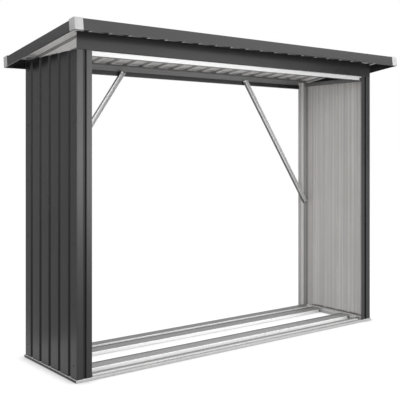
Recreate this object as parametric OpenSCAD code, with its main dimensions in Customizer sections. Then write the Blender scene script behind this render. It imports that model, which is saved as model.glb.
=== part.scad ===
// Open metal log store: two ribbed side walls on corner posts, a lean-to roof that falls to the
// back, diagonal braces in the open back and a low base ring with floor slats.
// Millimetres, +Z up, front towards -Y. The origin is under the middle of the outer box.

/* [Walls and posts] */
// Width across the outer faces of the corner posts
wall_w = 2008; // [1200:2:3000]
// Depth across the outer faces of the corner posts
wall_d = 532; // [440:2:900]
// Height of the side walls' capping rails
wall_h = 1486; // [1000:2:2000]
// Width of a post's leg on the open sides
post_face_w = 77; // [66:1:110]
// Width of a post's leg on the side walls
post_side_w = 55; // [30:1:80]
// Distance from a post's corner to the middle of its stiffening groove
post_groove_at = 41; // [38:1:50]
// Mouth of a post's stiffening groove
post_groove_w = 16; // [8:1:20]
// Depth of a post's stiffening groove
post_groove_d = 8; // [3:1:10]
// Height of the rails along the top of the walls
top_rail_h = 24; // [14:1:40]
// Width of those rails' inward top edge
top_rail_lip = 12; // [4:1:14]
// Thickness of every folded sheet
sheet_t = 1; // [0.6:0.1:1.6]
// Outer radius of every fold
bend_r = 2; // [1.8:0.1:3]

/* [Ribbed sheets] */
// Spacing of the grooves in the side walls
wall_rib_pitch = 98; // [70:1:130]
// Spacing of the grooves in the roof
roof_rib_pitch = 104; // [70:1:130]
// Mouth of a groove
groove_w = 25; // [18:1:36]
// Flat floor of a groove
groove_floor_w = 13; // [6:1:16]
// Depth of a groove
groove_d = 12; // [6:1:18]

/* [Roof] */
// Height of the roof's underside above the walls at the front
front_rise = 81; // [50:1:160]
// Height of the roof's underside above the walls at the back
back_rise = 11; // [6:1:40]
// Overhang past the posts at each side
side_overhang = 84; // [40:1:150]
// Overhang past the front posts, along the slope
front_overhang = 135; // [60:1:250]
// Overhang past the back posts, along the slope
back_overhang = 76; // [40:1:150]
// Height of the trim along the front and back of the roof
trim_h = 53; // [40:1:90]
// Width of the trim's top lip
trim_lip = 22; // [12:1:30]
// Width of the trim's turned-in lower edge
trim_hem = 5; // [4:1:20]
// Length of a corner cap on each side
cap_w = 43; // [30:1:70]
// Wall thickness of a corner cap
cap_t = 1.5; // [1:0.5:3]
// Radius of a corner cap's upright edge
cap_r = 6; // [3:0.5:12]

/* [Beams and braces] */
// Depth of the front beam's lower flange
beam_foot = 30; // [18:1:50]
// Depth of the flange that carries the roof sheets
beam_top = 25; // [12:1:40]
// Depth of the lintel under the front beam
lintel_d = 28; // [18:1:50]
// Gap between the lintel and each front post
lintel_gap = 5; // [2:1:30]
// Distance of the lintel behind the front posts' faces
lintel_back = 11; // [0:1:16]
// Distance of the back beam's lower edge below the top of the walls
back_beam_drop = 43; // [30:1:80]
// Height of the back beam's turned-up lip
back_beam_lip = 23; // [12:1:28]
// Width of a brace's web in the back plane
brace_w = 25; // [20:1:45]
// Height of a brace's flanges, which stand inwards
brace_leg = 20; // [12:1:30]
// Distance of a brace's upper end from the middle
brace_top_x = 450; // [150:5:650]
// Height of a brace's lower end
brace_foot_z = 708; // [300:2:1000]
// Run of a brace past the middle of each seat
brace_end = 15; // [8:1:25]

/* [Base] */
// Distance that the base ring stands out from the posts
base_proud = 5; // [1:1:12]
// Height of the ledge that posts and walls stand on
ledge_h = 13; // [6:1:15]
// Width of that ledge
ledge_w = 22; // [22:1:32]
// Height of the raised part inside the ledge
base_h = 18; // [17:1:40]
// Width of the front rail
front_rail_w = 55; // [46:1:74]
// Length of the notch in the front rail's raised part beside each front post
rail_notch = 12; // [4:1:30]
// Width of the side and back rails
base_rail_w = 78; // [75:1:100]
// Width of the turned-in lower edges
base_hem = 12; // [6:1:18]
// Width of a floor slat
slat_w = 84; // [50:1:110]
// Gap between the front rail and the front slat
front_slat_gap = 54; // [20:1:70]
// Gap between the back rail and the back slat
back_slat_gap = 32; // [10:1:60]
// Lap of a slat on the side rails
slat_lap = 30; // [10:1:45]
// Gap between a slat's folded sides and the side rails
slat_gap = 12; // [4:1:30]

/* [Hidden] */
// Room left round parts that pass each other
clearance = 1;
// Overrun of cuts past the faces they open
overrun = 5;
// Part of the roof's half width where the outer sheets meet the middle one
roof_lap_share = 0.32;
// Margin of a lapped sheet's edge from the neighbouring groove
lap_margin = 8;
// Flat steps that make up one fold
bend_steps = 3;
// Largest part of a flat that one fold may take up
bend_limit_share = 0.4;

painted = "#5b5c60";
galvanised = "#c2c4c4";
white_plastic = "#dfdfdf";

// The roof's underside is a plane through the tops of the front and back beams
pitch = atan((front_rise - back_rise) / wall_d);
slope = tan(pitch);
roof_t = groove_d + 3 * sheet_t;
roof_w = wall_w + 2 * side_overhang;
wall_slope_len = wall_d / cos(pitch);
roof_len = front_overhang + wall_slope_len + back_overhang;

// The outer box in depth, measured from the front of the walls, sets where the walls stand
box_front = -(front_overhang + cap_t) * cos(pitch) + (roof_t - trim_h) * sin(pitch);
box_back = (wall_slope_len + back_overhang + cap_t) * cos(pitch) + (roof_t + cap_t) * sin(pitch);
front_y = -(box_front + box_back) / 2;
back_y = front_y + wall_d;
mid_y = front_y + wall_d / 2;

// Inner face of a post's groove, which also carries the braces
seat_d = post_groove_d + sheet_t;
// The posts stand inside the wall sheets, and their face legs end at this distance from the middle
post_corner_x = wall_w / 2 - sheet_t;
post_edge_x = post_corner_x - post_face_w;
back_beam_z = wall_h - back_beam_drop;
brace_top_z = back_beam_z + back_beam_lip / 2;
brace_foot_x = post_corner_x - post_groove_at;
side_inner_x = wall_w / 2 + base_proud - base_rail_w;

// Folded sheet: the corners of an open line are rounded, then it gets its thickness on the left
function unit(v) = v / norm(v);
function across(v) = [-v.y, v.x];
function turned(v, angle) = cos(angle) * v + sin(angle) * across(v);
function bend(a, p, b) =
    let (into = unit(p - a))
    let (out = unit(b - p))
    let (angle = atan2(across(into) * out, into * out))
    let (half = tan(abs(angle) / 2))
    let (cut = min(bend_r * half, bend_limit_share * min(norm(p - a), norm(b - p))))
    let (spoke = -sign(angle) * cut / half * across(into))
    [for (k = [0:bend_steps]) p - cut * into - spoke + turned(spoke, angle * k / bend_steps)];
function rounded(path) =
    let (last = len(path) - 1)
    concat([path[0]], [for (i = [1:last - 1]) each bend(path[i - 1], path[i], path[i + 1])], [path[last]]);
function left_of(a, b) = across(unit(b - a));
function mitre(path, i) =
    let (last = len(path) - 1)
    let (before = left_of(path[max(i - 1, 0)], path[max(i - 1, 0) + 1]))
    let (after = left_of(path[min(i, last - 1)], path[min(i, last - 1) + 1]))
    (before + after) / (1 + before * after);
function thickened(path) =
    concat(path, [for (i = [len(path) - 1:-1:0]) path[i] + sheet_t * mitre(path, i)]);
function folded(path) = thickened(rounded(path));

// Line of a ribbed sheet: flats at groove depth, groove floors at zero
function groove_points(c) = [
    [c - groove_w / 2, groove_d],
    [c - groove_floor_w / 2, 0],
    [c + groove_floor_w / 2, 0],
    [c + groove_w / 2, groove_d]];
function ribbed(from, to, centres) =
    concat([[from, groove_d]], [for (c = centres) each groove_points(c)], [[to, groove_d]]);

// Straight folded length along X: the line runs inwards as +Y, with its heights as Z
module folded_length(path, length) {
    rotate([90, 0, 90])
        linear_extrude(height = length, center = true)
            polygon(folded(path));
}

// Mitred ends at 45 degrees in plan, square beyond the width of the neighbour at each end
module mitred(length, width, left_w, right_w, low, high) {
    l = min(width, left_w);
    r = min(width, right_w);
    left_end = concat([[l - length / 2, l]], width > l ? [[l - length / 2, width]] : []);
    right_end = concat(width > r ? [[length / 2 - r, width]] : [], [[length / 2 - r, r]]);
    outline = concat([[length / 2, 0], [-length / 2, 0]], left_end, right_end);
    intersection() {
        children();
        translate([0, 0, low - overrun])
            linear_extrude(height = high - low + 2 * overrun)
                polygon(outline);
    }
}

// Base ring
function base_line(width) = [
    [width - base_hem, 0], [width, 0], [width, base_h], [ledge_w, base_h],
    [ledge_w, ledge_h], [0, ledge_h], [0, 0], [base_hem, 0]];

module base_rail(length, width, left_w, right_w) {
    color(galvanised)
        mitred(length, width, left_w, right_w, 0, base_h)
            folded_length(base_line(width), length);
}

base_w = wall_w + 2 * base_proud;
base_d = wall_d + 2 * base_proud;

module base_front_rail() {
    notch_w = front_rail_w - ledge_w + 2 * overrun;
    notch_h = 2 * (base_h - ledge_h - clearance);
    translate([0, front_y - base_proud, 0])
        difference() {
            base_rail(base_w, front_rail_w, base_rail_w, base_rail_w);
            for (side = [-1, 1])
                translate([side * (post_edge_x - rail_notch / 2), (ledge_w + front_rail_w) / 2, base_h])
                    cube([rail_notch, notch_w, notch_h], center = true);
        }
}

module base_back_rail() {
    translate([0, back_y + base_proud, 0])
        rotate([0, 0, 180])
            base_rail(base_w, base_rail_w, base_rail_w, base_rail_w);
}

module base_left_rail() {
    translate([-base_w / 2, mid_y, 0])
        rotate([0, 0, -90])
            base_rail(base_d, base_rail_w, base_rail_w, front_rail_w);
}

module base_right_rail() {
    mirror([1, 0, 0])
        base_left_rail();
}

// Floor slat: an inverted channel whose top laps on the side rails
module slat(y) {
    slat_h = base_h + sheet_t;
    top_len = 2 * (side_inner_x + slat_lap);
    side_len = 2 * (side_inner_x - slat_gap);
    line = [[slat_w - base_hem, 0], [slat_w, 0], [slat_w, slat_h], [0, slat_h], [0, 0], [base_hem, 0]];
    color(galvanised)
        translate([0, y - slat_w / 2, 0])
            difference() {
                folded_length(line, top_len);
                for (side = [-1, 1])
                    translate([side * top_len / 2, slat_w / 2, base_h / 2 - overrun])
                        cube([top_len - side_len, slat_w + overrun, base_h + 2 * overrun], center = true);
            }
}

module front_slat() {
    slat(front_y - base_proud + front_rail_w + front_slat_gap + slat_w / 2);
}

module back_slat() {
    slat(back_y + base_proud - base_rail_w - back_slat_gap - slat_w / 2);
}

// Corner post: a side leg on the inside of the wall sheet, and a face leg with a stiffening groove
module post() {
    slant = 2 * sheet_t;
    groove_from = post_groove_at - post_groove_w / 2;
    groove_to = post_groove_at + post_groove_w / 2;
    line = [
        [0, post_side_w], [0, 0],
        [groove_from, 0], [groove_from + slant, post_groove_d],
        [groove_to - slant, post_groove_d], [groove_to, 0],
        [post_face_w, 0]];
    color(painted)
        translate([-post_corner_x, 0, ledge_h])
            linear_extrude(height = wall_h - ledge_h)
                polygon(folded(line));
}

module post_front_left() {
    translate([0, front_y, 0])
        post();
}

module post_front_right() {
    mirror([1, 0, 0])
        post_front_left();
}

module post_back_left() {
    translate([0, back_y, 0])
        mirror([0, 1, 0])
            post();
}

module post_back_right() {
    mirror([1, 0, 0])
        post_back_left();
}

// Side walls: upright ribbed sheets, whose outer flats lie on the posts' side legs
wall_edge_flat = post_side_w + bend_r;
wall_rib_count = floor((wall_d - 2 * wall_edge_flat - groove_w) / wall_rib_pitch) + 1;
wall_ribs = [for (i = [0:wall_rib_count - 1]) (i - (wall_rib_count - 1) / 2) * wall_rib_pitch];

module left_wall() {
    color(painted)
        translate([-wall_w / 2, mid_y, ledge_h])
            rotate([0, 0, 90])
                linear_extrude(height = wall_h - ledge_h)
                    translate([0, -groove_d - sheet_t])
                        polygon(folded(ribbed(-wall_d / 2, wall_d / 2, wall_ribs)));
}

module right_wall() {
    mirror([1, 0, 0])
        left_wall();
}

// Rails along the top of the side walls: angles on the inner side of the grooves
module left_top_rail() {
    face = groove_d + sheet_t;
    line = [[face + top_rail_lip, 0], [face, 0], [face, -top_rail_h]];
    color(painted)
        translate([-wall_w / 2, mid_y, wall_h])
            rotate([0, 0, -90])
                folded_length(line, wall_d - 2 * sheet_t);
}

module right_top_rail() {
    mirror([1, 0, 0])
        left_top_rail();
}

// Front lintel: a channel between the posts, hung from the front beam
module front_lintel() {
    line = [[lintel_d, 0], [0, 0], [0, -top_rail_h], [lintel_d, -top_rail_h]];
    color(galvanised)
        translate([0, front_y + lintel_back, wall_h])
            folded_length(line, 2 * (post_edge_x - lintel_gap));
}

// Front beam: stands on the rails and the lintel, with its top flange under the roof sheets
module front_beam() {
    line = [
        [beam_top, front_rise - beam_top * slope], [0, front_rise],
        [0, 0], [beam_foot, 0]];
    color(painted)
        translate([0, front_y, wall_h])
            folded_length(line, wall_w);
}

// Back beam: its face lies on the posts, and its hooked lower edge fits between them
module back_beam() {
    top_z = back_beam_drop + back_rise;
    line = [
        [beam_top, top_z + beam_top * slope], [-sheet_t, top_z - sheet_t * slope],
        [-sheet_t, 0], [seat_d, 0], [seat_d, back_beam_lip]];
    notch_x = post_edge_x - clearance;
    notch_h = back_beam_lip + 2 * overrun;
    color(painted)
        translate([0, back_y, back_beam_z])
            rotate([0, 0, 180])
                difference() {
                    folded_length(line, wall_w);
                    for (side = [0, 1])
                        mirror([side, 0, 0])
                            translate([notch_x, 0, -overrun])
                                cube([wall_w / 2 - notch_x + overrun, seat_d + overrun, notch_h]);
                }
}

// Braces: channels across the upper corners of the open back
module right_brace() {
    run = [brace_top_x - brace_foot_x, brace_top_z - brace_foot_z];
    length = norm(run) + 2 * brace_end;
    line = [
        [brace_w / 2, -brace_leg], [brace_w / 2, 0],
        [-brace_w / 2, 0], [-brace_w / 2, -brace_leg]];
    color(galvanised)
        translate([brace_foot_x, back_y - seat_d, brace_foot_z])
            rotate([0, atan2(run.x, run.y), 0])
                translate([0, 0, -brace_end])
                    linear_extrude(height = length)
                        polygon(folded(line));
}

module left_brace() {
    mirror([1, 0, 0])
        right_brace();
}

// Roof pieces are laid out level, with the groove floors at zero over the front posts
module on_roof() {
    translate([0, front_y, wall_h + front_rise])
        rotate([-pitch, 0, 0])
            children();
}

roof_rib_half = floor((roof_w / 2 - groove_w) / roof_rib_pitch);
lap_rib = floor(roof_lap_share * roof_w / 2 / roof_rib_pitch);
lap_from = lap_rib * roof_rib_pitch + groove_w / 2 + lap_margin;
lap_to = (lap_rib + 1) * roof_rib_pitch - groove_w / 2 - lap_margin;

module roof_sheet(from, to, first, last, lift) {
    centres = [for (i = [first:last]) i * roof_rib_pitch];
    color(painted)
        on_roof()
            translate([0, wall_slope_len + back_overhang - sheet_t, lift])
                rotate([90, 0, 0])
                    linear_extrude(height = roof_len - 2 * sheet_t)
                        polygon(folded(ribbed(from, to, centres)));
}

module roof_middle_sheet() {
    roof_sheet(-lap_to, lap_to, -lap_rib, lap_rib, sheet_t);
}

module roof_right_sheet() {
    roof_sheet(lap_from, roof_w / 2 - sheet_t - bend_r, lap_rib + 1, roof_rib_half, 0);
}

module roof_left_sheet() {
    mirror([1, 0, 0])
        roof_right_sheet();
}

// Trim round the roof: a deep face with a turned-in lower edge, and a top lip that lies over the sheets
// at the front and back, and under them at the sides
module trim(length, top) {
    line = [
        [trim_lip, top], [0, top],
        [0, roof_t - trim_h], [trim_hem, roof_t - trim_h]];
    color(painted)
        mitred(length, trim_lip, trim_lip, trim_lip, roof_t - trim_h, roof_t)
            folded_length(line, length);
}

roof_mid = roof_len / 2 - front_overhang;

module front_trim() {
    on_roof()
        translate([0, -front_overhang, 0])
            trim(roof_w, roof_t);
}

module back_trim() {
    on_roof()
        translate([0, roof_len - front_overhang, 0])
            rotate([0, 0, 180])
                trim(roof_w, roof_t);
}

module left_trim() {
    on_roof()
        translate([-roof_w / 2, roof_mid, 0])
            rotate([0, 0, -90])
                trim(roof_len, groove_d);
}

module right_trim() {
    mirror([1, 0, 0])
        left_trim();
}

// Corner caps: moulded shells over the trim's corners, open below and inside
module cap() {
    size = cap_w + cap_t;
    color(white_plastic)
        translate([-cap_t, -cap_t, roof_t - trim_h])
            difference() {
                linear_extrude(height = trim_h + cap_t)
                    cap_outline(size);
                translate([cap_t, cap_t, -overrun])
                    cube([size, size, trim_h + overrun]);
            }
}

module cap_outline(size) {
    translate([cap_r, cap_r])
        circle(r = cap_r, $fn = 48);
    translate([cap_r, 0])
        square([size - cap_r, size]);
    translate([0, cap_r])
        square([size, size - cap_r]);
}

module cap_front_left() {
    on_roof()
        translate([-roof_w / 2, -front_overhang, 0])
            cap();
}

module cap_front_right() {
    mirror([1, 0, 0])
        cap_front_left();
}

module cap_back_left() {
    on_roof()
        translate([-roof_w / 2, roof_len - front_overhang, 0])
            mirror([0, 1, 0])
                cap();
}

module cap_back_right() {
    mirror([1, 0, 0])
        cap_back_left();
}

base_front_rail();
base_back_rail();
base_left_rail();
base_right_rail();
front_slat();
back_slat();
post_front_left();
post_front_right();
post_back_left();
post_back_right();
left_wall();
right_wall();
left_top_rail();
right_top_rail();
front_lintel();
front_beam();
back_beam();
left_brace();
right_brace();
roof_left_sheet();
roof_middle_sheet();
roof_right_sheet();
front_trim();
back_trim();
left_trim();
right_trim();
cap_front_left();
cap_front_right();
cap_back_left();
cap_back_right();
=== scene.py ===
# Looks of the open metal log store: coats, zinc, moulded caps, fixings, floor, light and camera
import math

import bmesh
import bpy
from mathutils import Matrix, Vector


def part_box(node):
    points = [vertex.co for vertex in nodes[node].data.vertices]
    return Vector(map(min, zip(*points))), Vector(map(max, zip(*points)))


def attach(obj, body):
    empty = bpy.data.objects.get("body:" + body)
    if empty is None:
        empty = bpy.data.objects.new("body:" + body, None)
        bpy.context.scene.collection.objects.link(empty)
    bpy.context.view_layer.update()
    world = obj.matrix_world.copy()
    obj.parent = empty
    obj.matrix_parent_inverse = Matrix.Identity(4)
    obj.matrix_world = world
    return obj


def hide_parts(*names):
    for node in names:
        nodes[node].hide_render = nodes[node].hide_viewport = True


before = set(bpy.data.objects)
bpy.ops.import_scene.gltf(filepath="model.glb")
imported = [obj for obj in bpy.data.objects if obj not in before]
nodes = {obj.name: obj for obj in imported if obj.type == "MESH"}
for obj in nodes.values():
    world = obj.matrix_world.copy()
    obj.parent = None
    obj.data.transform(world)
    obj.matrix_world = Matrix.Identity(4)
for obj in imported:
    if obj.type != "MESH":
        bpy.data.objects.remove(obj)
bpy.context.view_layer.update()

MM = 0.001


# Sizes of the solids that finishes, caps and fixings follow

FRONT_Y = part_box("post_front_left")[0].y
BACK_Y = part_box("post_back_left")[1].y
MID_Y = (FRONT_Y + BACK_Y) / 2
WALL_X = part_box("right_wall")[1].x
# Faces further than this behind the outer faces of a wall or post lie in a groove
GROOVE_LIP = 2 * MM
# From a post's corner to the middle of its groove
POST_GROOVE = 41 * MM
# Upper faces of the floor over this height lie inside the ledge
OVER_LEDGE = 16 * MM
# Roof frame: x across, y back down the slope, z off the floors of the grooves
ROOF_FRONT_Z = 1567 * MM
PITCH = math.atan(70 / 532)
roof = Matrix.Translation((0, FRONT_Y, ROOF_FRONT_Z)) @ Matrix.Rotation(-PITCH, 4, "X")
ROOF_BACK = 612.6 * MM
ROOF_FRONT = -135 * MM
ROOF_SIDE = 1088 * MM
RIB = 104 * MM
GROOVE_MIDDLE = 6 * MM
# How far a face leans over to one side where a roof sheet's fold starts and ends
FOLD_START = 0.1
FOLD_END = 0.85
BOTH = (-1, 1)


# Node trees

def new_tree(name):
    """A material with its shader, and the Object coordinates that all its patterns read."""
    material = bpy.data.materials.new(name)
    material.use_nodes = True
    tree = material.node_tree
    shader = tree.nodes["Principled BSDF"]
    place = tree.nodes.new("ShaderNodeTexCoord").outputs["Object"]
    return material, tree, shader, place


def stretched(tree, place, size, turn=(0, 0, 0)):
    """Coordinates for a pattern whose marks have a size along each axis, in metres, and are then turned."""
    mapping = tree.nodes.new("ShaderNodeMapping")
    mapping.vector_type = "TEXTURE"
    mapping.inputs["Scale"].default_value = size
    mapping.inputs["Rotation"].default_value = turn
    tree.links.new(place, mapping.inputs["Vector"])
    return mapping.outputs["Vector"]


def noise(tree, place, scale, detail=3.0, roughness=0.5):
    made = tree.nodes.new("ShaderNodeTexNoise")
    made.inputs["Scale"].default_value = scale
    made.inputs["Detail"].default_value = detail
    made.inputs["Roughness"].default_value = roughness
    tree.links.new(place, made.inputs["Vector"])
    return made.outputs["Fac"]


def crystals(tree, place, scale):
    """One even grey for each cell, as in the zinc's flowers."""
    cells = tree.nodes.new("ShaderNodeTexVoronoi")
    cells.inputs["Scale"].default_value = scale
    tree.links.new(place, cells.inputs["Vector"])
    grey = tree.nodes.new("ShaderNodeRGBToBW")
    tree.links.new(cells.outputs["Color"], grey.inputs["Color"])
    return grey.outputs["Val"]


def blend(tree, a, b, share):
    """a and b mixed, with that share of b."""
    mix = tree.nodes.new("ShaderNodeMix")
    mix.inputs["Factor"].default_value = share
    tree.links.new(a, mix.inputs["A"])
    tree.links.new(b, mix.inputs["B"])
    return mix.outputs["Result"]


def tint(tree, value, dark, light, low=0.3, high=0.7):
    """A colour between dark and light."""
    ramp = tree.nodes.new("ShaderNodeValToRGB")
    ramp.color_ramp.elements[0].position = low
    ramp.color_ramp.elements[0].color = (*dark, 1)
    ramp.color_ramp.elements[1].position = high
    ramp.color_ramp.elements[1].color = (*light, 1)
    tree.links.new(value, ramp.inputs["Fac"])
    return ramp.outputs["Color"]


def fading(tree, place, axis, start, end):
    """0 up to one place along an axis, 1 from another on, and evenly rising between them."""
    parts = tree.nodes.new("ShaderNodeSeparateXYZ")
    tree.links.new(place, parts.inputs["Vector"])
    spread = tree.nodes.new("ShaderNodeMapRange")
    spread.inputs["From Min"].default_value = start
    spread.inputs["From Max"].default_value = end
    tree.links.new(parts.outputs[axis], spread.inputs["Value"])
    return spread.outputs["Result"]


def shaded(tree, colour, share, fade):
    """The colour, down to a share of itself where fade is 0."""
    mix = tree.nodes.new("ShaderNodeMix")
    mix.data_type = "RGBA"
    mix.blend_type = "MULTIPLY"
    mix.inputs["Factor"].default_value = 1.0
    tree.links.new(colour, mix.inputs["A"])
    tree.links.new(tint(tree, fade, (share, share, share), (1, 1, 1), 0.0, 1.0), mix.inputs["B"])
    return mix.outputs["Result"]


def ranged(tree, value, low, high):
    """The middle of a noise spread over a range."""
    spread = tree.nodes.new("ShaderNodeMapRange")
    spread.inputs["From Min"].default_value = 0.3
    spread.inputs["From Max"].default_value = 0.7
    spread.inputs["To Min"].default_value = low
    spread.inputs["To Max"].default_value = high
    tree.links.new(value, spread.inputs["Value"])
    return spread.outputs["Result"]


def bumped(tree, shader, heights):
    """Bumps laid over each other: pairs of a height and its depth in metres."""
    normal = None
    for height, depth in heights:
        bump = tree.nodes.new("ShaderNodeBump")
        bump.inputs["Distance"].default_value = depth
        tree.links.new(height, bump.inputs["Height"])
        if normal:
            tree.links.new(normal, bump.inputs["Normal"])
        normal = bump.outputs["Normal"]
    tree.links.new(normal, shader.inputs["Normal"])


# Finishes, whose brightness on each kind of face was set to come near to the photo in its light

# Many finishes below are lit and shaded copies of one coat, one back coat and one zinc: painted light and
# shade
ACROSS = (0, 0, 0)
DEEP = (0, 0, math.pi / 2)
NO_SHADE = ("Z", -2.0, -1.0, 1.0)
NO_EDGE = 10.0
WALL_GREYS = ((0.58, 0.56, 0.545), (0.78, 0.76, 0.745))
# The roof's back coat is set lighter than the walls', as painted light on the roof's underside
ROOF_GREYS = ((0.80, 0.785, 0.775), (0.96, 0.945, 0.935))


def anthracite_coat(name, gloss):
    """Satin anthracite coat: faint clouds, fine grain and the slow waves of thin sheet.

    Its own colour is nearly black, and most of its grey comes from the gloss.
    """
    material, tree, shader, place = new_tree(name)
    clouds = noise(tree, place, 2.2, 4.0)
    grain = noise(tree, place, 520.0, 2.0)
    waves = noise(tree, stretched(tree, place, (0.33, 0.33, 0.83)), 1.0, 1.0)
    mottle = blend(tree, clouds, grain, 0.3)
    tree.links.new(
        tint(tree, mottle, (0.013, 0.013, 0.01378), (0.019, 0.019, 0.02014)), shader.inputs["Base Color"])
    tree.links.new(ranged(tree, clouds, 0.25, 0.33), shader.inputs["Roughness"])
    shader.inputs["Specular IOR Level"].default_value = gloss
    bumped(tree, shader, [(waves, 1.0 * MM), (grain, 0.06 * MM)])
    return material


def back_coat(name, along, dark, light, shade=NO_SHADE):
    """Thin back coat, with streaks along one axis, as if the sheet was rolled that way.

    The shade is painted shade: an axis, where on it the coat is darkest, where it is plain, and
    the share of its colour that is left at its darkest.
    """
    material, tree, shader, place = new_tree(name)
    rolled = [14 * MM, 14 * MM, 14 * MM]
    rolled["XYZ".index(along)] = 2.0
    streaks = noise(tree, stretched(tree, place, rolled), 1.0, 4.0, 0.6)
    clouds = noise(tree, place, 3.0, 3.0)
    grain = noise(tree, place, 600.0, 2.0)
    colour = tint(tree, blend(tree, streaks, clouds, 0.15), dark, light, 0.36, 0.64)
    axis, darkest, plain, share = shade
    tree.links.new(
        shaded(tree, colour, share, fading(tree, place, axis, darkest, plain)), shader.inputs["Base Color"])
    tree.links.new(ranged(tree, streaks, 0.38, 0.54), shader.inputs["Roughness"])
    bumped(tree, shader, [(streaks, 0.15 * MM), (grain, 0.05 * MM)])
    return material


def galvanised(name, turn, dark, light, metal, smooth, dull, back_edge=NO_EDGE):
    """Zinc with small flowers and streaks along the piece, with painted shade along a back edge where one
    is given.
    """
    material, tree, shader, place = new_tree(name)
    flowers = crystals(tree, place, 75.0)
    streaks = noise(tree, stretched(tree, place, (0.9, 18 * MM, 18 * MM), turn), 1.0, 3.0)
    colour = tint(tree, blend(tree, flowers, streaks, 0.7), (dark,) * 3, (light,) * 3)
    edge = fading(tree, place, "Y", back_edge - 2 * MM, back_edge - 30 * MM)
    tree.links.new(shaded(tree, colour, 0.25, edge), shader.inputs["Base Color"])
    tree.links.new(
        ranged(tree, blend(tree, streaks, flowers, 0.4), smooth, dull), shader.inputs["Roughness"])
    shader.inputs["Metallic"].default_value = metal
    shader.inputs["Specular IOR Level"].default_value = 0.3
    bumped(tree, shader, [(streaks, 0.05 * MM), (flowers, 0.008 * MM)])
    return material


def top_zinc(node, light, edged):
    """The upper faces of a floor piece, each piece in its own grey as painted light and shade, with painted
    shade along its back edge where asked.
    """
    back_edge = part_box(node)[1].y if edged else NO_EDGE
    return galvanised(
        f"top_zinc_{node}", ACROSS, dark=0.78 * light, light=light, metal=0.1, smooth=0.50, dull=0.62,
        back_edge=back_edge)


def leg_coat(end, corner_y, inwards):
    """The back coat of the posts' side legs at one end, with painted shade towards the corner."""
    shade = ("Y", corner_y + inwards * 4 * MM, corner_y + inwards * 18 * MM, 0.3)
    return back_coat(f"back_coat_{end}_legs", "Z", *WALL_GREYS, shade)


def cap_plastic():
    """Off-white moulded plastic with a fine grain."""
    material, tree, shader, place = new_tree("cap_plastic")
    clouds = noise(tree, place, 22.0, 2.0)
    grain = noise(tree, place, 900.0, 2.0)
    mottle = blend(tree, clouds, grain, 0.3)
    tree.links.new(
        tint(tree, mottle, (0.465, 0.465, 0.47), (0.535, 0.535, 0.54)), shader.inputs["Base Color"])
    tree.links.new(ranged(tree, clouds, 0.38, 0.48), shader.inputs["Roughness"])
    bumped(tree, shader, [(grain, 0.05 * MM)])
    return material


def sealing_rubber():
    """Black rubber of the roof screws' washers, slightly mottled."""
    material, tree, shader, place = new_tree("sealing_rubber")
    grain = noise(tree, place, 700.0, 3.0)
    tree.links.new(
        tint(tree, grain, (0.018, 0.018, 0.019), (0.035, 0.035, 0.036)), shader.inputs["Base Color"])
    tree.links.new(ranged(tree, grain, 0.62, 0.80), shader.inputs["Roughness"])
    bumped(tree, shader, [(grain, 0.05 * MM)])
    return material


coat = anthracite_coat("anthracite_coat", gloss=0.36)
# Copies of the coat with less gloss, so they look darker: painted shade on the front beam under the
# overhang and in the grooves of the walls and posts
shaded_beam_coat = anthracite_coat("anthracite_coat_front_beam_shade", gloss=0.24)
groove_shade_coat = anthracite_coat("anthracite_coat_groove_shade", gloss=0.16)

# Painted shade at the foot of the walls' inner faces
foot_shade = ("Z", 20 * MM, 28 * MM, 0.3)
# Painted shade on the roof's underside, darkest up to 60 mm behind the front posts' faces and plain from
# 100 mm
overhang_shade = ("Y", FRONT_Y + 60 * MM, FRONT_Y + 100 * MM, 0.12)
wall_back = back_coat("back_coat_walls", "Z", *WALL_GREYS, foot_shade)
roof_back = back_coat("back_coat_roof", "Y", *ROOF_GREYS)
flat_back = back_coat("back_coat_roof_flats", "Y", *ROOF_GREYS, overhang_shade)
# Painted shade: the roof grooves' sides darker, their folds darkest
slope_back = back_coat("back_coat_groove_sides", "Y", (0.42, 0.41, 0.405), (0.52, 0.51, 0.505), overhang_shade)
fold_back = back_coat("back_coat_groove_folds", "Y", (0.16, 0.157, 0.155), (0.22, 0.217, 0.215), overhang_shade)
post_back = back_coat("back_coat_posts", "Z", (0.58, 0.57, 0.56), (0.70, 0.69, 0.68))
# Painted highlight on the back of the posts' grooves, and painted shade on their inner faces by the corners
ridge_back = back_coat("back_coat_post_ridges", "Z", (0.80, 0.785, 0.775), (0.94, 0.925, 0.915))
corner_back = back_coat("back_coat_post_corners", "Z", (0.42, 0.412, 0.406), (0.53, 0.522, 0.516))
leg_backs = {"front": leg_coat("front", FRONT_Y, 1), "back": leg_coat("back", BACK_Y, -1)}
# Painted shade: the back coat darkened for the inner faces of the beams and top rails
beam_back = back_coat("back_coat_beams", "X", (0.175, 0.174, 0.174), (0.24, 0.239, 0.239))

BRIGHT = {"dark": 0.49, "light": 0.56, "metal": 0.26, "smooth": 0.27, "dull": 0.37}
# A near-white copy of the zinc: painted light on the floor pieces' fronts and the side rails' tops
LIT_ZINC = {"dark": 0.92, "light": 0.98, "metal": 0.12, "smooth": 0.27, "dull": 0.37}
# A near-black copy of the zinc: painted shade in hollows and on faces turned away
HOLLOW_SHADE = {"dark": 0.07, "light": 0.11, "metal": 0.26, "smooth": 0.40, "dull": 0.55}
# A slightly darker copy of the zinc: painted shade on the front rail's front face
RAIL_FRONT = {"dark": 0.43, "light": 0.50, "metal": 0.26, "smooth": 0.27, "dull": 0.37}
LINTEL_FRONT = {"dark": 0.51, "light": 0.55, "metal": 0.26, "smooth": 0.30, "dull": 0.34}
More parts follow.
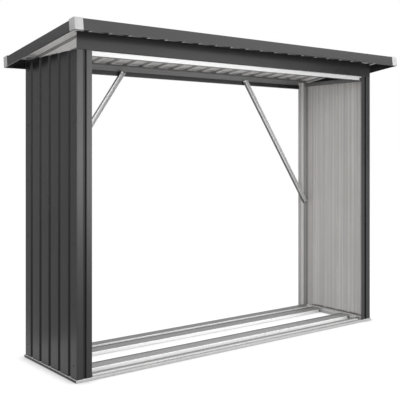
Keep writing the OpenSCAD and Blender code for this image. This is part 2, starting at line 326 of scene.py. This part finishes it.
# The braces' zinc in lit and shaded copies: painted light on the web and the flanges' insides, painted
# shade on their outsides
BRACE_WEB = {"dark": 0.95, "light": 0.99, "metal": 0.05, "smooth": 0.40, "dull": 0.45}
BRACE_INSIDE = {"dark": 0.70, "light": 0.76, "metal": 0.05, "smooth": 0.40, "dull": 0.45}
BRACE_OUTSIDE = {"dark": 0.14, "light": 0.19, "metal": 0.26, "smooth": 0.40, "dull": 0.55}
zinc_across = galvanised("bright_zinc_across", ACROSS, **BRIGHT)
zinc_deep = galvanised("bright_zinc_deep", DEEP, **BRIGHT)
lit_across = galvanised("lit_zinc_across", ACROSS, **LIT_ZINC)
lit_deep = galvanised("lit_zinc_deep", DEEP, **LIT_ZINC)
hollow_shade_across = galvanised("hollow_shade_zinc_across", ACROSS, **HOLLOW_SHADE)
rail_across = galvanised("rail_zinc_across", ACROSS, **RAIL_FRONT)
lintel_across = galvanised("lintel_zinc_across", ACROSS, **LINTEL_FRONT)

plastic = cap_plastic()
rubber = sealing_rubber()


# Which faces of the solids have which finish

def finish(node, *materials):
    nodes[node].data.materials.clear()
    for material in materials:
        nodes[node].data.materials.append(material)


def finish_faces(node, materials, choice):
    """Gives each face the one of the materials that choice(middle, normal) returns."""
    finish(node, *materials)
    for face in nodes[node].data.polygons:
        face.material_index = materials.index(choice(face.center, face.normal))


def finish_sides(node, inside, faces_out, outside=coat):
    """One finish on the faces for which faces_out(middle, normal) holds, and another on the others."""
    finish_faces(
        node, [outside, inside], lambda middle, normal: outside if faces_out(middle, normal) else inside)


def away_from(y, z):
    """Faces that look away from a line along X, as the outer faces of a channel do."""
    return lambda middle, normal: normal.y * (middle.y - y) + normal.z * (middle.z - z) > 0


def floor_sides(node, front, light, edged):
    """A floor piece's upper faces inside the ledge, its front, its hollow in near-black zinc as painted
    shade, and its other faces.
    """
    low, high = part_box(node)
    outer = away_from((low.y + high.y) / 2, low.z)
    top = top_zinc(node, light, edged)

    def choice(middle, normal):
        if normal.z > 0.7 and middle.z > OVER_LEDGE:
            return top
        if not outer(middle, normal):
            return hollow_shade_across
        return front if normal.y < -0.7 else zinc_across

    finish_faces(node, [zinc_across, top, front, hollow_shade_across], choice)


def side_rail(node, outwards):
    """A side rail's dark outer face, upper faces in near-white zinc as painted light, and plain zinc
    elsewhere.
    """
    def choice(middle, normal):
        if normal.x * outwards > 0.9:
            return coat
        return lit_deep if normal.z > 0.7 else zinc_deep

    finish_faces(node, [zinc_deep, coat, lit_deep], choice)


def wall_sides(node, outwards):
    """A wall's outer faces, with less gloss in the grooves as painted shade, and its pale inner faces, with
    painted shade at their foot.
    """
    outer_x = max(abs(corner.x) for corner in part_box(node))

    def choice(middle, normal):
        if normal.x * outwards < -0.1:
            return wall_back
        return groove_shade_coat if abs(middle.x) < outer_x - GROOVE_LIP else coat

    finish_faces(node, [coat, groove_shade_coat, wall_back], choice)


def brace_sides(node):
    """A brace's near-white web, and its flanges, lighter inside and dark outside, all as painted light and
    shade, with streaks along the brace.
    """
    low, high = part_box(node)
    centre = (low + high) / 2
    lean = math.atan2(high.z - low.z, high.x - low.x)
    along = (0, lean if centre.x > 0 else -lean, 0)
    web = galvanised(f"{node}_web", along, **BRACE_WEB)
    inside = galvanised(f"{node}_inside", along, **BRACE_INSIDE)
    outside = galvanised(f"{node}_outside", along, **BRACE_OUTSIDE)

    def choice(middle, normal):
        if abs(normal.y) > 0.5:
            return web
        return outside if normal.dot(middle - centre) > 0 else inside

    finish_faces(node, [web, inside, outside], choice)


def roof_sides(node):
    """A roof sheet's dark top and pale underside, with painted light and shade: grooves palest below,
    darker on their sides, darkest in the folds, flats darker at the front.
    """
    to_roof = roof.inverted()

    def choice(middle, normal):
        steep = abs(normal.x)
        if normal.z > 0:
            return coat
        # Painted light: the groove bottoms take the palest back coat
        if (to_roof @ middle).z < GROOVE_MIDDLE and steep < FOLD_END:
            return roof_back
        if steep < FOLD_START:
            return roof_back if abs(middle.x) > WALL_X - RIB / 2 else flat_back
        return slope_back if steep > FOLD_END else fold_back

    finish_faces(node, [coat, roof_back, flat_back, slope_back, fold_back], choice)


def post_sides(node, leg_back):
    """A post's outer faces, with less gloss in the groove as painted shade, and its inner faces with
    painted light and shade: palest on the groove's back, darker by the corner.
    """
    low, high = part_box(node)
    right = -1 if low.x < 0 else 1
    back = -1 if low.y < 0 else 1
    corner_x = high.x if right > 0 else low.x
    edge_x = low.x if right > 0 else high.x
    face_y = high.y if back > 0 else low.y

    def choice(middle, normal):
        from_corner = abs(middle.x - corner_x)
        deep = abs(middle.y - face_y) > GROOVE_LIP
        if abs(normal.y) < 0.1 and from_corner < abs(middle.x - edge_x) / 4:
            return coat if normal.x * right > 0 else leg_back
        if normal.y * back > -0.1:
            return groove_shade_coat if deep else coat
        if deep:
            return ridge_back
        return corner_back if from_corner < POST_GROOVE else post_back

    finish_faces(node, [coat, groove_shade_coat, post_back, ridge_back, corner_back, leg_back], choice)


for side in ("left", "right"):
    outwards = -1 if side == "left" else 1
    wall_sides(f"{side}_wall", outwards)
    # The top rails' inner faces take the darkened back coat: painted shade
    finish_sides(f"{side}_top_rail", beam_back, lambda middle, normal: normal.x * outwards > -0.7)
    finish(f"{side}_trim", coat)
    side_rail(f"base_{side}_rail", outwards)
    brace_sides(f"{side}_brace")
    for end in ("front", "back"):
        post_sides(f"post_{end}_{side}", leg_backs[end])
for part in ("left", "middle", "right"):
    roof_sides(f"roof_{part}_sheet")
for node in ("front_trim", "back_trim"):
    finish(node, coat)
# Painted light and shade on the floor: upper faces lighter at the front and darker to the back, shade along
# the back edges but the back rail's, fronts near white but the front rail's
floor_sides("base_front_rail", rail_across, light=0.85, edged=True)
floor_sides("front_slat", lit_across, light=0.54, edged=True)
floor_sides("back_slat", lit_across, light=0.44, edged=True)
floor_sides("base_back_rail", lit_across, light=0.35, edged=False)
# Painted shade: the lintel's faces that don't face the front in near-black zinc
finish_sides("front_lintel", hollow_shade_across, lambda middle, normal: normal.y < -0.3, lintel_across)
# The beams' inner faces take the darkened back coat: painted shade
low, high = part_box("front_beam")
finish_sides("front_beam", beam_back, away_from((low.y + high.y) / 2, (low.z + high.z) / 2), shaded_beam_coat)
low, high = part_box("back_beam")
finish_sides("back_beam", beam_back, away_from(high.y - 5.5 * MM, low.z + 12 * MM))


# Modelling by hand

def fresh(add, **size):
    """A new primitive, alone in the selection and open for modelling."""
    bpy.ops.object.select_all(action="DESELECT")
    add(**size)
    bpy.ops.object.transform_apply(location=True, rotation=True, scale=True)
    bpy.ops.object.mode_set(mode="EDIT")


def cylinder(sides, radius, height, foot=0.0):
    """A new upright cylinder that stands at a height."""
    fresh(bpy.ops.mesh.primitive_cylinder_add, vertices=sides, radius=radius, depth=height,
          location=(0, 0, foot + height / 2))


def pick(kind, test):
    """Selects, in the open piece, only the faces or edges for which test holds."""
    bpy.ops.mesh.select_mode(type=kind)
    bpy.ops.mesh.select_all(action="DESELECT")
    mesh = bpy.context.object.data
    shape = bmesh.from_edit_mesh(mesh)
    for element in list(shape.faces if kind == "FACE" else shape.edges):
        element.select_set(test(element))
    bmesh.update_edit_mesh(mesh)


def faces_up(face):
    return face.normal.z > 0.9


def at_height(z):
    """Edges that lie at one height."""
    return lambda edge: all(abs(point.co.z - z) < 0.01 * MM for point in edge.verts)


def raise_top(rise, share):
    """Pulls the picked top up, and draws it in to a share of its width."""
    bpy.ops.mesh.extrude_region_move(TRANSFORM_OT_translate={"value": (0, 0, rise)})
    bpy.ops.transform.resize(value=(share, share, 1), center_override=(0, 0, 0))


def close(material):
    """Leaves modelling, with the finish and smooth rounds."""
    bpy.ops.object.mode_set(mode="OBJECT")
    bpy.ops.object.shade_smooth_by_angle(angle=math.radians(35))
    piece = bpy.context.object
    piece.data.materials.append(material)
    return piece


def joined(parts):
    bpy.ops.object.select_all(action="DESELECT")
    for part in parts:
        part.select_set(True)
    bpy.context.view_layer.objects.active = parts[0]
    bpy.ops.object.join()
    return bpy.context.object


def lifted(piece, rise):
    piece.data.transform(Matrix.Translation((0, 0, rise)))
    return piece


def washer(radius, thickness, material):
    cylinder(16, radius, thickness)
    pick("EDGE", at_height(thickness))
    bpy.ops.mesh.bevel(offset=thickness / 3, segments=2)
    return close(material)


def hexagon(flats, height, foot, material):
    """A hexagon head or nut that stands at a height, with its upper corners taken off."""
    cylinder(6, flats / math.sqrt(3), height, foot)
    pick("EDGE", at_height(foot + height))
    bpy.ops.mesh.bevel(offset=flats / 14, segments=2)
    pick("FACE", lambda face: faces_up(face) and face.calc_area() > flats ** 2 / 3)
    bpy.ops.mesh.inset(thickness=flats / 10)
    return close(material)


def roof_screw():
    """Hexagon screw with a pressed flange on a rubber washer."""
    return joined([
        hexagon(8 * MM, 3.6 * MM, 2.4 * MM, coat),
        washer(5.4 * MM, 1.2 * MM, rubber),
        lifted(washer(5.0 * MM, 1.2 * MM, coat), 1.2 * MM)])


def pan_screw(material):
    """Low domed head with a flange and a round recess."""
    cylinder(14, 3.6 * MM, 0.6 * MM)
    pick("FACE", faces_up)
    bpy.ops.mesh.inset(thickness=0.6 * MM)
    raise_top(1.0 * MM, 0.92)
    raise_top(0.5 * MM, 0.70)
    bpy.ops.mesh.inset(thickness=0.6 * MM)
    raise_top(-0.7 * MM, 0.85)
    return close(material)


def rivet(material):
    """Blind rivet: a thin dome with the pin's hole."""
    cylinder(12, 3.4 * MM, 0.4 * MM)
    pick("FACE", faces_up)
    raise_top(0.5 * MM, 0.86)
    raise_top(0.35 * MM, 0.66)
    bpy.ops.mesh.inset(thickness=0.6 * MM)
    raise_top(-0.5 * MM, 0.9)
    return close(material)


def bolt():
    """Hexagon head on its washer."""
    return joined([
        hexagon(10 * MM, 4 * MM, 1.2 * MM, zinc_across),
        washer(6.2 * MM, 1.2 * MM, zinc_across)])


def nut():
    """Nut on its washer, with the chamfered end of the bolt."""
    cylinder(14, 3 * MM, 5.6 * MM, 1.2 * MM)
    pick("EDGE", at_height(6.8 * MM))
    bpy.ops.mesh.bevel(offset=0.6 * MM, segments=1)
    bolt_end = close(zinc_across)
    return joined([
        hexagon(10 * MM, 4.6 * MM, 1 * MM, zinc_across),
        washer(5.8 * MM, 1 * MM, zinc_across),
        bolt_end])


def set_out(model, name, places):
    """Copies of a model at its places, each turned a little further, as one piece."""
    copies = []
    for turn, place in enumerate(places):
        copy = model.copy()
        copy.data = model.data.copy()
        copy.data.transform(place @ Matrix.Rotation(0.7 * turn, 4, "Z"))
        bpy.context.scene.collection.objects.link(copy)
        copies.append(copy)
    bpy.data.objects.remove(model)
    piece = joined(copies)
    piece.name = name
    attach(piece, "root")


def seat(x, y, z, facing):
    """The place of a fixing whose head faces one way."""
    return Matrix.Translation((x, y, z)) @ Vector(facing).to_track_quat("Z", "Y").to_matrix().to_4x4()


def on_roof(x, y, z):
    return roof @ Matrix.Translation((x, y, z))


def front_back(from_front, from_back):
    return (FRONT_Y + from_front * MM, BACK_Y - from_back * MM)


# Corner caps

CAP_PROUD = 1.49 * MM
CAP_FOOT = -38 * MM


def moulded_cap():
    """A thin corner cap with round edges, open below and towards the roof, its corner at the origin."""
    width, height, wall = 44.5 * MM, 54.5 * MM, 1.5 * MM
    fresh(bpy.ops.mesh.primitive_cube_add, size=1, scale=(width, width, height),
          location=(width / 2, width / 2, height / 2))
    pick("FACE", lambda face: max(face.normal.x, face.normal.y, -face.normal.z) > 0.9)
    bpy.ops.mesh.delete(type="FACE")
    pick("EDGE", lambda edge: all(point.co.xy.length < 0.01 * MM for point in edge.verts))
    bpy.ops.mesh.bevel(offset=6 * MM, segments=6)
    pick("EDGE", lambda edge: len(edge.link_faces) == 2 and at_height(height)(edge))
    bpy.ops.mesh.bevel(offset=2 * MM, segments=3)
    bpy.ops.object.mode_set(mode="OBJECT")
    shell = bpy.context.object.modifiers.new("wall", "SOLIDIFY")
    shell.thickness = wall
    shell.offset = -1
    shell.use_even_offset = True
    bpy.ops.object.modifier_apply(modifier=shell.name)
    soft = bpy.context.object.modifiers.new("rim", "BEVEL")
    soft.width = 0.3 * MM
    soft.segments = 2
    soft.limit_method = "ANGLE"
    soft.angle_limit = math.radians(50)
    bpy.ops.object.modifier_apply(modifier=soft.name)
    return close(plastic)


cap_model = moulded_cap()
for end, side, x, y, quarter in (
        ("front", "left", -1, ROOF_FRONT, 0), ("front", "right", 1, ROOF_FRONT, 1),
        ("back", "right", 1, ROOF_BACK, 2), ("back", "left", -1, ROOF_BACK, 3)):
    cap = cap_model.copy()
    cap.data = cap_model.data.copy()
    proud = CAP_PROUD * (-1 if end == "front" else 1)
    corner = on_roof(x * (ROOF_SIDE + CAP_PROUD), y + proud, CAP_FOOT)
    cap.data.transform(corner @ Matrix.Rotation(quarter * math.pi / 2, 4, "Z"))
    cap.name = f"moulded_cap_{end}_{side}"
    bpy.context.scene.collection.objects.link(cap)
    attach(cap, "root")
    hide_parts(f"cap_{end}_{side}")
bpy.data.objects.remove(cap_model)


# Fixings

UP = (0, 0, 1)
DOWN = (0, 0, -1)
FORWARDS = (0, -1, 0)
BACKWARDS = (0, 1, 0)
# The middle roof sheet lies one sheet higher, as far as this rib
MIDDLE_RIBS = 3
LAP_X = (MIDDLE_RIBS + 0.5) * RIB
# Tops of the side sheets' flats, of the laps and of the front and back trim, in the roof frame
FLAT_TOP = 13 * MM
LAP_TOP = 14 * MM
END_TRIM_TOP = 15 * MM
SIDE_RIVETS_X = 1075 * MM
TRIM_EDGE = 12 * MM
TOP_RAIL_MIDDLE = 1474 * MM
BACK_BEAM_SCREWS_Z = 1465 * MM
LINTEL_FLANGE_UNDERSIDE = 1485 * MM
BRACE_FOOT = (962 * MM, 708 * MM)
BRACE_HEAD = (450 * MM, 1454.5 * MM)
SLAT_TOP = 19 * MM
RAIL_TOP = 18 * MM
slat_lines = [sum(corner.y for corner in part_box(node)) / 2 for node in ("front_slat", "back_slat")]

set_out(roof_screw(), "roof_screws", [
    on_roof(RIB * rib, y, (2 if abs(rib) <= MIDDLE_RIBS else 1) * MM)
    for y in (12.5 * MM, 524.5 * MM) for rib in range(-9, 10)])
set_out(pan_screw(coat), "lap_screws", [
    on_roof(side * LAP_X, y * MM, LAP_TOP)
    for side in BOTH for y in (-80, 120, 320, 520)])
set_out(rivet(coat), "trim_rivets", [
    on_roof(side * RIB * (rib + 0.5), y, END_TRIM_TOP)
    for y in (ROOF_FRONT + TRIM_EDGE, ROOF_BACK - TRIM_EDGE)
    for side in BOTH for rib in (0, 2, 4, 6, 8)] + [
    on_roof(side * SIDE_RIVETS_X, y * MM, FLAT_TOP)
    for side in BOTH for y in (-50, 100, 250, 400, 550)])
set_out(pan_screw(coat), "wall_screws", [
    seat(side * WALL_X, y, (70 + 272 * row) * MM, (side, 0, 0))
    for side in BOTH for y in front_back(28, 28) for row in range(6)])
set_out(rivet(coat), "rail_rivets", [
    seat(side * (WALL_X - 12 * MM), MID_Y + 98 * MM * rib, TOP_RAIL_MIDDLE, (side, 0, 0))
    for side in BOTH for rib in range(-2, 3)])
set_out(pan_screw(coat), "back_beam_screws", [
    seat(side * x * MM, BACK_Y + 1 * MM, BACK_BEAM_SCREWS_Z, BACKWARDS)
    for side in BOTH for x in (942, 984)])
set_out(bolt(), "brace_bolts", [
    seat(side * x, BACK_Y - 10 * MM, z, FORWARDS)
    for side in BOTH for x, z in (BRACE_FOOT, BRACE_HEAD)])
set_out(nut(), "brace_nuts", [
    seat(side * BRACE_FOOT[0], BACK_Y - 8 * MM, BRACE_FOOT[1], BACKWARDS) for side in BOTH])
set_out(rivet(zinc_across), "lintel_rivets", [
    seat(x * MM, FRONT_Y + 26 * MM, LINTEL_FLANGE_UNDERSIDE, DOWN)
    for x in (-800, -400, 0, 400, 800)])
set_out(pan_screw(zinc_across), "slat_screws", [
    seat(side * 946 * MM, y + across * 24 * MM, SLAT_TOP, UP)
    for y in slat_lines for side in BOTH for across in BOTH])
set_out(pan_screw(zinc_across), "corner_screws", [
    seat(side * x * MM, y, RAIL_TOP, UP)
    for side in BOTH for x, lines in ((950, front_back(35, 40)), (959, front_back(66, 80))) for y in lines])


# Floor, light and camera

def seen_by_camera(tree):
    """1 for what the camera sees, directly, in a reflection or through something clear."""
    rays = tree.nodes.new("ShaderNodeLightPath")
    most = rays.outputs["Is Camera Ray"]
    for kind in ("Is Glossy Ray", "Is Transmission Ray"):
        larger = tree.nodes.new("ShaderNodeMath")
        larger.operation = "MAXIMUM"
        tree.links.new(most, larger.inputs[0])
        tree.links.new(rays.outputs[kind], larger.inputs[1])
        most = larger.outputs["Value"]
    return most


def pale_floor():
    """White where the camera sees it, apart from a soft shadow, partly real and partly painted by darkening
    the glow near the object, and a plain pale floor for the light.
    """
    material = bpy.data.materials.new("pale_floor")
    material.use_nodes = True
    tree = material.node_tree
    tree.nodes.remove(tree.nodes["Principled BSDF"])
    plain = tree.nodes.new("ShaderNodeBsdfDiffuse")
    plain.inputs["Color"].default_value = (0.75, 0.75, 0.75, 1)
    dim = tree.nodes.new("ShaderNodeBsdfDiffuse")
    dim.inputs["Color"].default_value = (0.24, 0.24, 0.24, 1)
    # Painted shadow: the floor's glow darkens where the object stands close above it
    painted_contact_shadow = tree.nodes.new("ShaderNodeAmbientOcclusion")
    painted_contact_shadow.inputs["Distance"].default_value = 60 * MM
    lift = tree.nodes.new("ShaderNodeEmission")
    lift.inputs["Strength"].default_value = 0.92
    tree.links.new(painted_contact_shadow.outputs["Color"], lift.inputs["Color"])
    white = tree.nodes.new("ShaderNodeAddShader")
    tree.links.new(dim.outputs["BSDF"], white.inputs[0])
    tree.links.new(lift.outputs["Emission"], white.inputs[1])
    either = tree.nodes.new("ShaderNodeMixShader")
    tree.links.new(seen_by_camera(tree), either.inputs["Fac"])
    tree.links.new(plain.outputs["BSDF"], either.inputs[1])
    tree.links.new(white.outputs["Shader"], either.inputs[2])
    tree.links.new(either.outputs["Shader"], tree.nodes["Material Output"].inputs["Surface"])
    return material


def make_floor():
    bpy.ops.object.select_all(action="DESELECT")
    bpy.ops.mesh.primitive_plane_add(size=60)
    floor = bpy.context.object
    floor.name = "floor"
    floor.data.materials.append(pale_floor())


def make_world():
    """Soft even light, and plain white where the camera sees it."""
    world = bpy.data.worlds.new("studio")
    bpy.context.scene.world = world
    world.use_nodes = True
    tree = world.node_tree
    soft = tree.nodes["Background"]
    soft.inputs["Color"].default_value = (1, 1, 1, 1)
    soft.inputs["Strength"].default_value = 0.40
    white = tree.nodes.new("ShaderNodeBackground")
    white.inputs["Color"].default_value = (1, 1, 1, 1)
    white.inputs["Strength"].default_value = 1.0
    either = tree.nodes.new("ShaderNodeMixShader")
    tree.links.new(seen_by_camera(tree), either.inputs["Fac"])
    tree.links.new(soft.outputs["Background"], either.inputs[1])
    tree.links.new(white.outputs["Background"], either.inputs[2])
    tree.links.new(either.outputs["Shader"], tree.nodes["World Output"].inputs["Surface"])


def softbox(name, place, target, width, height, brightness):
    """A rectangular lamp that the camera doesn't see, as bright per area at any size."""
    lamp = bpy.data.lights.new(name, "AREA")
    lamp.shape = "RECTANGLE"
    lamp.size = width
    lamp.size_y = height
    lamp.energy = brightness * math.pi * width * height
    holder = bpy.data.objects.new(name, lamp)
    holder.location = place
    holder.rotation_euler = (Vector(target) - Vector(place)).to_track_quat("-Z", "Y").to_euler()
    holder.visible_camera = False
    bpy.context.scene.collection.objects.link(holder)


def grey_card(name, place, target, width, height, grey):
    """A matt card that the camera doesn't see, that the paint reflects and that casts no shadow."""
    bpy.ops.object.select_all(action="DESELECT")
    turn = (Vector(target) - Vector(place)).to_track_quat("Z", "Y").to_euler()
    bpy.ops.mesh.primitive_plane_add(size=1, location=place, rotation=turn)
    card = bpy.context.object
    card.name = name
    card.scale = (width, height, 1)
    card.visible_camera = False
    card.visible_shadow = False
    material = bpy.data.materials.new(name)
    material.use_nodes = True
    shader = material.node_tree.nodes["Principled BSDF"]
    shader.inputs["Base Color"].default_value = (grey, grey, grey, 1)
    shader.inputs["Roughness"].default_value = 0.9
    card.data.materials.append(material)


def make_camera():
    """A level camera at the photo's viewing angle, with the lens shifted down to the photo's framing."""
    camera = bpy.data.cameras.new("camera")
    camera.sensor_width = 36
    camera.lens = 66.087
    camera.shift_y = -0.12
    holder = bpy.data.objects.new("camera", camera)
    holder.location = (-2.5691, -3.1471, 1.0273)
    holder.rotation_euler = (math.radians(90), 0, math.radians(-37.8))
    bpy.context.scene.collection.objects.link(holder)
    bpy.context.scene.camera = holder


make_floor()
make_world()
softbox("front_softbox", (3.75, -6.5, 1.28), (3.75, 0, 1.28), width=5.1, height=2.54, brightness=6.7)
softbox("high_softbox", (3.9, -4.5, 4.2), (1.5, 0, 1.2), width=9.0, height=1.6, brightness=2.65)
softbox("left_softbox", (-5.5, -5.0, 2.2), (0.6, 0, 0.8), width=6.0, height=4.4, brightness=2.0)
grey_card("left_card", (-2.9, 2.5, 1.21), (-2.9, 1.989, 2.069), width=3.5, height=4.7, grey=0.85)
grey_card("right_card", (8.9, -6.5, 2.1), (1.0, -0.2, 1.3), width=3.6, height=3.2, grey=0.30)
make_camera()

bpy.context.scene.view_settings.view_transform = "Standard"
